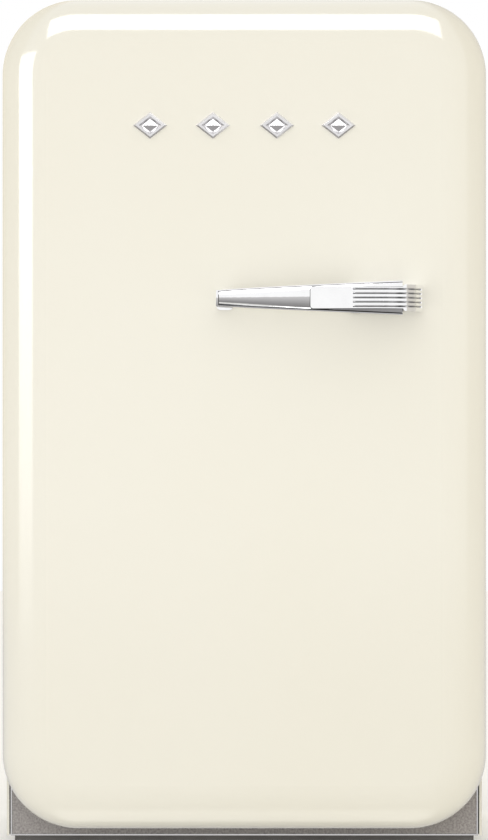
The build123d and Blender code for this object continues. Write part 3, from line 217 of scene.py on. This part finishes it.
def foamed(slot, base, deep):
    """Rigid polyurethane foam with open cells where it is cut."""
    made, tree, shader, coords = start(slot)
    cell = cells(tree, coords, 620.0).outputs["Distance"]
    feed(tree, shader, Base_Color=blended(tree, remap(tree, cell, (0.0, 0.7)), base, deep))
    bumped(tree, shader, cell, 0.5, 0.0008)
    set_on(shader, Roughness=0.9)
    return made


def rubbery(slot, base, deep, rough=(0.6, 0.78)):
    """Soft seal or foot rubber with bloom."""
    made, tree, shader, coords = start(slot)
    bloom = remap(tree, noise(tree, coords, 60.0, detail=4.0), (0.4, 0.7))
    sheen = remap(tree, bloom, (0.0, 1.0), rough)
    feed(tree, shader, Base_Color=blended(tree, bloom, base, deep), Roughness=sheen)
    bumped(tree, shader, noise(tree, coords, 700.0, detail=2.0), 0.15, 0.0004)
    return made


def clear(slot, base, rough, ior, alpha):
    """Clear pane or moulding: pale tint, faint smears, seen through by its alpha."""
    made, tree, shader, coords = start(slot)
    smear = noise(tree, coords, 22.0, detail=4.0)
    tint = blended(tree, remap(tree, smear, (0.35, 0.7)), base, dimmed(base, 0.95))
    feed(tree, shader, Base_Color=tint, Roughness=remap(tree, smear, (0.3, 0.75), rough))
    bumped(tree, shader, noise(tree, coords, 60.0, detail=2.0), 0.02, 0.0005)
    set_on(shader, IOR=ior, Alpha=alpha)
    return made


def opal_cover(slot, base, deep, glow):
    """Milky lamp cover."""
    made, tree, shader, coords = start(slot)
    cloud = remap(tree, noise(tree, coords, 40.0), (0.3, 0.7))
    sheen = remap(tree, cloud, (0.0, 1.0), (0.3, 0.4))
    feed(tree, shader, Base_Color=blended(tree, cloud, base, deep), Roughness=sheen)
    bumped(tree, shader, noise(tree, coords, 500.0, detail=2.0), 0.08, 0.0003)
    set_on(shader, Subsurface_Weight=0.3, Subsurface_Scale=0.01)
    set_on(shader, Emission_Color=(*glow, 1.0), Emission_Strength=0.25)
    return made


def circuit(slot, base, deep):
    """White solder mask with faint tracks."""
    made, tree, shader, coords = start(slot)
    tracks = add(tree, "ShaderNodeTexWave", {"bands_direction": "Y"}, Scale=160.0, Distortion=2.0)
    feed(tree, tracks, Vector=coords)
    line = remap(tree, tracks.outputs["Fac"], (0.7, 0.8), (0.0, 0.5))
    sheen = remap(tree, noise(tree, coords, 200.0), (0.3, 0.7), (0.35, 0.5))
    feed(tree, shader, Base_Color=blended(tree, line, base, deep), Roughness=sheen)
    bumped(tree, shader, tracks.outputs["Fac"], 0.1, 0.0002)
    return made


def studio_surface(name, base, deep, glow):
    """Pale matt surface that gives off a little light of its own."""
    made, tree, shader, coords = start(name)
    tone = remap(tree, noise(tree, coords, 2.0), (0.3, 0.7))
    sheen = remap(tree, noise(tree, coords, 30.0), (0.3, 0.7), (0.5, 0.7))
    feed(tree, shader, Base_Color=blended(tree, tone, base, deep), Roughness=sheen)
    bumped(tree, shader, noise(tree, coords, 500.0, detail=2.0), 0.04, 0.0005)
    set_on(shader, Emission_Color=(*glow, 1.0), Emission_Strength=0.12)
    return made


FINISHES = {
    "cream_enamel": partial(enamel, base=(0.885, 0.866, 0.785), deep=(0.878, 0.855, 0.763)),
    "white_abs": partial(moulded, base=(0.87, 0.875, 0.865), deep=(0.86, 0.865, 0.855),
                         rough=(0.36, 0.42), grain=1600.0, relief=0.02, drift=9.0),
    "foam": partial(foamed, base=(0.82, 0.74, 0.46), deep=(0.66, 0.56, 0.30)),
    "galvanised": partial(bare_metal, base=(0.62, 0.64, 0.65), deep=(0.52, 0.54, 0.56), spangle=0.6),
    "grey_pan": partial(moulded, base=(0.15, 0.142, 0.135), deep=(0.115, 0.108, 0.103),
                        rough=(0.4, 0.55), grain=1400.0, relief=0.2),
    "grey_grained": partial(grained_panel, base=(0.46, 0.435, 0.43), deep=(0.27, 0.25, 0.25)),
    "black_plastic": partial(moulded, base=(0.028, 0.028, 0.03), deep=(0.045, 0.045, 0.047),
                             rough=(0.4, 0.58), grain=1500.0, relief=0.25),
    # black_inlay: near-black strips set into the handle's flutes and seams, painted shade standing in for the
    # dark reflection and shadow lines there
    "black_inlay": partial(moulded, base=(0.012, 0.012, 0.012), deep=(0.02, 0.02, 0.02),
                           rough=(0.25, 0.4), grain=900.0, relief=0.05),
    "black_rubber": partial(rubbery, base=(0.025, 0.025, 0.025), deep=(0.06, 0.058, 0.055)),
    "bright_trim": partial(polished, base=(0.90, 0.90, 0.90), rough=(0.10, 0.2)),
    "chrome": partial(polished, base=(0.95, 0.95, 0.955), rough=(0.04, 0.09)),
    "satin_chrome": partial(polished, base=(0.80, 0.79, 0.80), rough=(0.15, 0.24)),
    "zinc": partial(bare_metal, base=(0.66, 0.66, 0.63), deep=(0.55, 0.55, 0.52), rough=(0.25, 0.4)),
    "white_plastic": partial(moulded, base=(0.83, 0.83, 0.81), deep=(0.78, 0.78, 0.76),
                             rough=(0.25, 0.4), grain=700.0, relief=0.08),
    "opal": partial(opal_cover, base=(0.92, 0.93, 0.92), deep=(0.86, 0.88, 0.88), glow=(0.93, 0.97, 1.0)),
    "board": partial(circuit, base=(0.82, 0.83, 0.80), deep=(0.62, 0.64, 0.60)),
    "aluminium": partial(bare_metal, base=(0.80, 0.81, 0.82), deep=(0.68, 0.69, 0.70),
                         rough=(0.25, 0.42), brush=(260.0, 4.0, 4.0)),
    "black_steel": partial(painted_tube, base=(0.022, 0.022, 0.022), deep=(0.085, 0.080, 0.072),
                           steel=(0.24, 0.22, 0.20)),
    "nylon": partial(moulded, base=(0.74, 0.73, 0.67), deep=(0.68, 0.66, 0.60),
                     rough=(0.4, 0.55), grain=800.0, relief=0.1),
    "seal": partial(rubbery, base=(0.66, 0.66, 0.645), deep=(0.62, 0.62, 0.605), rough=(0.5, 0.65)),
    "magnet": partial(rubbery, base=(0.05, 0.045, 0.04), deep=(0.09, 0.08, 0.075)),
    "glass": partial(clear, base=(0.86, 0.95, 0.92), rough=(0.02, 0.06), ior=1.5, alpha=0.32),
    "clear_plastic": partial(clear, base=(0.93, 0.965, 0.98), rough=(0.04, 0.10), ior=1.49, alpha=0.26),
    "brass": partial(bare_metal, base=(0.72, 0.62, 0.40), deep=(0.60, 0.50, 0.32), rough=(0.2, 0.35)),
    "hinge_grey": partial(bare_metal, base=(0.70, 0.70, 0.70), deep=(0.58, 0.58, 0.58), rough=(0.22, 0.36)),
}


def dress_cad_nodes():
    """Gives every CAD node the finish of its material slot, and the badge a softer chrome."""
    made = {slot: build(slot) for slot, build in FINISHES.items()}
    for part in frame["record"]["subparts"]:
        mesh = NODES[part["node"]].data
        mesh.materials.clear()
        mesh.materials.append(made[part["material_slot"]])
    NODES["badge"].data.materials[0] = made["satin_chrome"]


dress_cad_nodes()


# ---------------------------------------------------------------- floor
FLOOR_HALF = 6.0


def floor():
    """Plain pale studio floor that reflections don't see."""
    mesh = bpy.data.meshes.new("studio_floor")
    signs = [(-1, -1), (1, -1), (1, 1), (-1, 1)]
    mesh.from_pydata([(FLOOR_HALF * x, FLOOR_HALF * y, 0) for x, y in signs], [], [(0, 1, 2, 3)])
    mesh.materials.append(studio_surface("floor", (0.97, 0.965, 0.955), (0.955, 0.95, 0.94),
                                         (1.0, 0.99, 0.97)))
    made = bpy.data.objects.new("studio_floor", mesh)
    bpy.context.scene.collection.objects.link(made)
    made.visible_glossy = False


# ---------------------------------------------------------------- lights
DOOR_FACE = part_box("door_shell")[0][1]
ROLL_DEPTH = 0.030              # from the door's face back to the middle of its rolled edge
BOX_REACH = 1.5                 # from the rolled edge to each light that it mirrors
ABOVE_ANGLE = math.radians(58)  # how far up from straight ahead the box above stands
LEFT_ANGLE = math.radians(56)   # how far round to the left the other box stands
LEFT_LEVEL = 0.70               # height of the box at the left and of its aim


def softbox(name, place, target, size, power, diffuse=True, glossy=True, tint=(1, 1, 1), fade=None):
    """Rectangular light aimed at a point; fade is the part of its height over which it brightens."""
    data = bpy.data.lights.new(name, "AREA")
    data.shape = "RECTANGLE"
    data.size, data.size_y = size
    data.energy = power
    data.color = tint
    made = bpy.data.objects.new(name, data)
    bpy.context.scene.collection.objects.link(made)
    made.location = place
    made.rotation_euler = (Vector(target) - Vector(place)).to_track_quat("-Z", "Y").to_euler()
    made.visible_camera = False
    made.visible_diffuse = diffuse
    made.visible_glossy = glossy
    if fade:
        data.use_nodes = True
        tree = data.node_tree
        where = add(tree, "ShaderNodeNewGeometry").outputs["Parametric"]
        _, up, _ = components(tree, where)
        feed(tree, tree.nodes["Emission"], Strength=remap(tree, up, fade))


def lights():
    """Two boxes that only reflections see, and three soft lights that only matt surfaces see."""
    low, high = CAD_BOX
    top, left = high[2], low[0]
    front = DOOR_FACE + ROLL_DEPTH
    above = (0, front - BOX_REACH * math.cos(ABOVE_ANGLE), top + BOX_REACH * math.sin(ABOVE_ANGLE))
    aside = (left - BOX_REACH * math.sin(LEFT_ANGLE), front - BOX_REACH * math.cos(LEFT_ANGLE), LEFT_LEVEL)
    softbox("box_above", above, (0, front, top), size=(1.95, 1.30), power=26.0, diffuse=False)
    softbox("box_left", aside, (left, front, LEFT_LEVEL), size=(1.09, 1.20), power=14.0, diffuse=False,
            fade=(0.0, 0.45))
    softbox("key_above", (0, front - 0.6, 2.7), (0, front - 0.6, 0), size=(3.0, 3.0), power=5.0,
            glossy=False)
    softbox("fill_front", (-0.15, front - 3.2, 1.1), (0, front, 0.35), size=(2.4, 1.6), power=2.0,
            glossy=False, tint=(0.97, 0.98, 1.0))
    softbox("fill_low", (-0.35, front - 1.6, 0.34), (-0.05, front, 0.04), size=(1.4, 0.5), power=1.6,
            glossy=False)


# ---------------------------------------------------------------- surroundings
def towards(tree, direction, axis):
    """Goes from 0 to 1 as the direction turns towards a level axis."""
    made = add(tree, "ShaderNodeVectorMath", {"operation": "DOT_PRODUCT"})
    made.inputs[1].default_value = axis
    tree.links.new(direction, made.inputs[0])
    return remap(tree, made.outputs["Value"], (0.48, 0.62))


def mirrored_world(tree, direction, height):
    """What reflections see: white above the horizon, warm behind; grey below it, white straight down."""
    above = blended(tree, towards(tree, direction, (0.82, 0.57, 0.0)), (1.02, 1.02, 1.02), (0.69, 0.66, 0.60))
    above = blended(tree, towards(tree, direction, (-0.82, 0.57, 0.0)), above, (0.86, 0.80, 0.66))
    below = blended(tree, remap(tree, height, (-0.85, -0.04)), (0.26, 0.255, 0.255), (0.62, 0.61, 0.61))
    below = blended(tree, remap(tree, height, (-0.97, -0.89)), (0.92, 0.91, 0.88), below)
    return blended(tree, remap(tree, height, (-0.05, -0.02)), below, above)


def surroundings():
    """World that is white to the camera, soft and slightly warm to matt surfaces, and has
    tones of its own for reflections."""
    world = bpy.data.worlds.new("studio")
    bpy.context.scene.world = world
    world.use_nodes = True
    tree = world.node_tree
    direction = add(tree, "ShaderNodeTexCoord").outputs["Generated"]
    along, _, height = components(tree, direction)
    soft = blended(tree, remap(tree, along, (-0.2, 1.0)), (0.85, 0.84, 0.81), (0.87, 0.815, 0.69))
    rays = add(tree, "ShaderNodeLightPath").outputs
    tone = blended(tree, rays["Is Glossy Ray"], soft, mirrored_world(tree, direction, height))
    feed(tree, tree.nodes["Background"], Color=blended(tree, rays["Is Camera Ray"], tone, (1.0, 1.0, 1.0)))


# ---------------------------------------------------------------- camera
CAMERA_DISTANCE = 4.0     # from the outline's widest section
OUTLINE_DEPTH = 0.038     # from the door's face back to that section
VIEW_HEIGHT = 0.702       # what the picture's height spans at that section
CAMERA_X, CAMERA_Z = -0.00025, 0.3642
FILM = 36.0               # the sensor's longer side, in mm


def camera():
    """Long lens straight on to the door, level with the middle of the view."""
    data = bpy.data.cameras.new("camera")
    data.sensor_width = FILM
    data.lens = data.sensor_width * CAMERA_DISTANCE / VIEW_HEIGHT
    data.clip_end = 50.0
    made = bpy.data.objects.new("camera", data)
    bpy.context.scene.collection.objects.link(made)
    made.location = (CAMERA_X, DOOR_FACE + OUTLINE_DEPTH - CAMERA_DISTANCE, CAMERA_Z)
    made.rotation_euler = (math.pi / 2, 0, 0)
    bpy.context.scene.camera = made


floor()
lights()
surroundings()
camera()
bpy.context.scene.view_settings.view_transform = "Standard"
